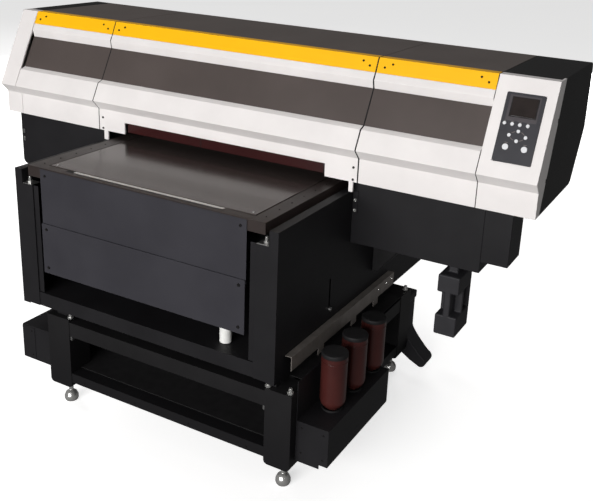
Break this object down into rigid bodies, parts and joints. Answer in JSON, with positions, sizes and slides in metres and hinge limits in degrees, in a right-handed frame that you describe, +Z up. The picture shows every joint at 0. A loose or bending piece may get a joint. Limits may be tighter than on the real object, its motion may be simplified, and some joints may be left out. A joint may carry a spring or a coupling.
{
  "type": "flatbed uv printer",
  "caption": "Flatbed UV printer: a fixed gantry with lifting covers and a print carriage over a table that lifts and feeds, on a base frame with an ink tray.",
  "frame": {"origin": "on the floor under the middle of the machine's bounding box", "axes": "+X along the gantry to the operator's right, +Y to the back, +Z up"},
  "size_m": [2.2, 1.306, 1.32],
  "materials": {
    "cover_white": "satin moulded",
    "window_tint": "smoked gloss",
    "strip_yellow": "satin",
    "roof_dark": "fine textured powder coat",
    "black_steel": "fine textured powder coat",
    "black_moulding": "satin moulded",
    "panel_dark": "satin powder coat",
    "surround_brown": "satin",
    "table_anodised": "dark hard-anodised, glossy",
    "shield_red": "translucent dark red",
    "bright_steel": "bright",
    "chrome": "polished",
    "frame_steel": "painted",
    "bezel": "satin",
    "key_grey": "satin",
    "ink_bottle": "translucent dark brown-red",
    "post_white": "satin"
  },
  "bodies": {
    "machine": {"base_frame": "black_steel", "control_bezel": "bezel", "control_module": "cover_white", "electrical_box": "black_steel", "gantry_beam": "frame_steel", "gantry_mount": "black_steel", "housing_pan": "black_steel", "housing_rear_panel": "black_steel", "housing_wall_left": "black_steel", "housing_wall_right": "black_steel", "ink_tray": "black_steel", "left_end_cap": "cover_white", "levelling_foot_front_left": "chrome", "levelling_foot_front_right": "chrome", "levelling_foot_rear_left": "chrome", "levelling_foot_rear_right": "chrome", "lift_stop_post": "post_white", "lower_cover_end": "black_steel", "lower_cover_left": "black_steel", "lower_cover_right": "black_steel", "lower_front_panel": "panel_dark", "rear_cover_left": "roof_dark", "rear_cover_middle": "roof_dark", "rear_cover_right": "roof_dark", "rear_stabiliser": "black_moulding", "side_cover_left": "roof_dark", "side_cover_right": "roof_dark", "side_rail": "bright_steel", "support_block": "black_moulding"},
    "left_cover": {"left_cover_shell": "cover_white", "left_cover_window": "window_tint", "left_cover_strip": "strip_yellow"},
    "front_cover": {"front_cover_shell": "cover_white", "front_cover_window": "window_tint", "front_cover_strip": "strip_yellow", "uv_shield": "shield_red"},
    "right_cover": {"right_cover_shell": "cover_white", "right_cover_window": "window_tint", "right_cover_strip": "strip_yellow"},
    "carriage": {"print_carriage": "black_steel"},
    "lift": {"lift_frame": "frame_steel", "upper_front_panel": "panel_dark", "table_surround": "surround_brown", "feed_rail_left": "bright_steel", "feed_rail_right": "bright_steel"},
    "table": {"table_plate": "table_anodised", "table_carriage": "bright_steel"},
    "bottle_1": {"ink_bottle_1": "ink_bottle"},
    "bottle_2": {"ink_bottle_2": "ink_bottle"},
    "bottle_3": {"ink_bottle_3": "ink_bottle"},
    "key_cancel": {"key_cancel": "key_grey"},
    "key_down": {"key_down": "key_grey"},
    "key_enter": {"key_enter": "key_grey"},
    "key_function_1": {"key_function_1": "key_grey"},
    "key_function_2": {"key_function_2": "key_grey"},
    "key_function_3": {"key_function_3": "key_grey"},
    "key_function_4": {"key_function_4": "key_grey"},
    "key_left": {"key_left": "key_grey"},
    "key_right": {"key_right": "key_grey"},
    "key_up": {"key_up": "key_grey"}
  },
  "joints": [
    {"name": "left_cover_hinge", "type": "hinge", "parent": "machine", "child": "left_cover", "pos_m": [-0.8155, -0.059, 1.32], "axis": [-1, 0, 0], "range_deg": [0, 70]},
    {"name": "front_cover_hinge", "type": "hinge", "parent": "machine", "child": "front_cover", "pos_m": [-0.0525, -0.059, 1.32], "axis": [-1, 0, 0], "range_deg": [0, 70]},
    {"name": "right_cover_hinge", "type": "hinge", "parent": "machine", "child": "right_cover", "pos_m": [0.7085, -0.059, 1.32], "axis": [-1, 0, 0], "range_deg": [0, 70]},
    {"name": "carriage_travel", "type": "slide", "parent": "machine", "child": "carriage", "axis": [1, 0, 0], "range_m": [-1.4, 0]},
    {"name": "table_lift", "type": "slide", "parent": "machine", "child": "lift", "axis": [0, 0, 1], "range_m": [-0.153, 0]},
    {"name": "table_feed", "type": "slide", "parent": "lift", "child": "table", "axis": [0, 1, 0], "range_m": [0, 0.52]},
    {"name": "bottle_1_pull", "type": "slide", "parent": "machine", "child": "bottle_1", "axis": [0, 0, 1], "range_m": [0, 0.15]},
    {"name": "bottle_2_pull", "type": "slide", "parent": "machine", "child": "bottle_2", "axis": [0, 0, 1], "range_m": [0, 0.15]},
    {"name": "bottle_3_pull", "type": "slide", "parent": "machine", "child": "bottle_3", "axis": [0, 0, 1], "range_m": [0, 0.15]},
    {"name": "key_cancel_press", "type": "slide", "parent": "machine", "child": "key_cancel", "axis": [0, 0.8951, -0.446], "range_m": [0, 0.0015], "stiffness_N_per_m": 400},
    {"name": "key_down_press", "type": "slide", "parent": "machine", "child": "key_down", "axis": [0, 0.8951, -0.446], "range_m": [0, 0.0015], "stiffness_N_per_m": 400},
    {"name": "key_enter_press", "type": "slide", "parent": "machine", "child": "key_enter", "axis": [0, 0.8951, -0.446], "range_m": [0, 0.0015], "stiffness_N_per_m": 400},
    {"name": "key_function_1_press", "type": "slide", "parent": "machine", "child": "key_function_1", "axis": [0, 0.8951, -0.446], "range_m": [0, 0.0015], "stiffness_N_per_m": 400},
    {"name": "key_function_2_press", "type": "slide", "parent": "machine", "child": "key_function_2", "axis": [0, 0.8951, -0.446], "range_m": [0, 0.0015], "stiffness_N_per_m": 400},
    {"name": "key_function_3_press", "type": "slide", "parent": "machine", "child": "key_function_3", "axis": [0, 0.8951, -0.446], "range_m": [0, 0.0015], "stiffness_N_per_m": 400},
    {"name": "key_function_4_press", "type": "slide", "parent": "machine", "child": "key_function_4", "axis": [0, 0.8951, -0.446], "range_m": [0, 0.0015], "stiffness_N_per_m": 400},
    {"name": "key_left_press", "type": "slide", "parent": "machine", "child": "key_left", "axis": [0, 0.8951, -0.446], "range_m": [0, 0.0015], "stiffness_N_per_m": 400},
    {"name": "key_right_press", "type": "slide", "parent": "machine", "child": "key_right", "axis": [0, 0.8951, -0.446], "range_m": [0, 0.0015], "stiffness_N_per_m": 400},
    {"name": "key_up_press", "type": "slide", "parent": "machine", "child": "key_up", "axis": [0, 0.8951, -0.446], "range_m": [0, 0.0015], "stiffness_N_per_m": 400}
  ]
}
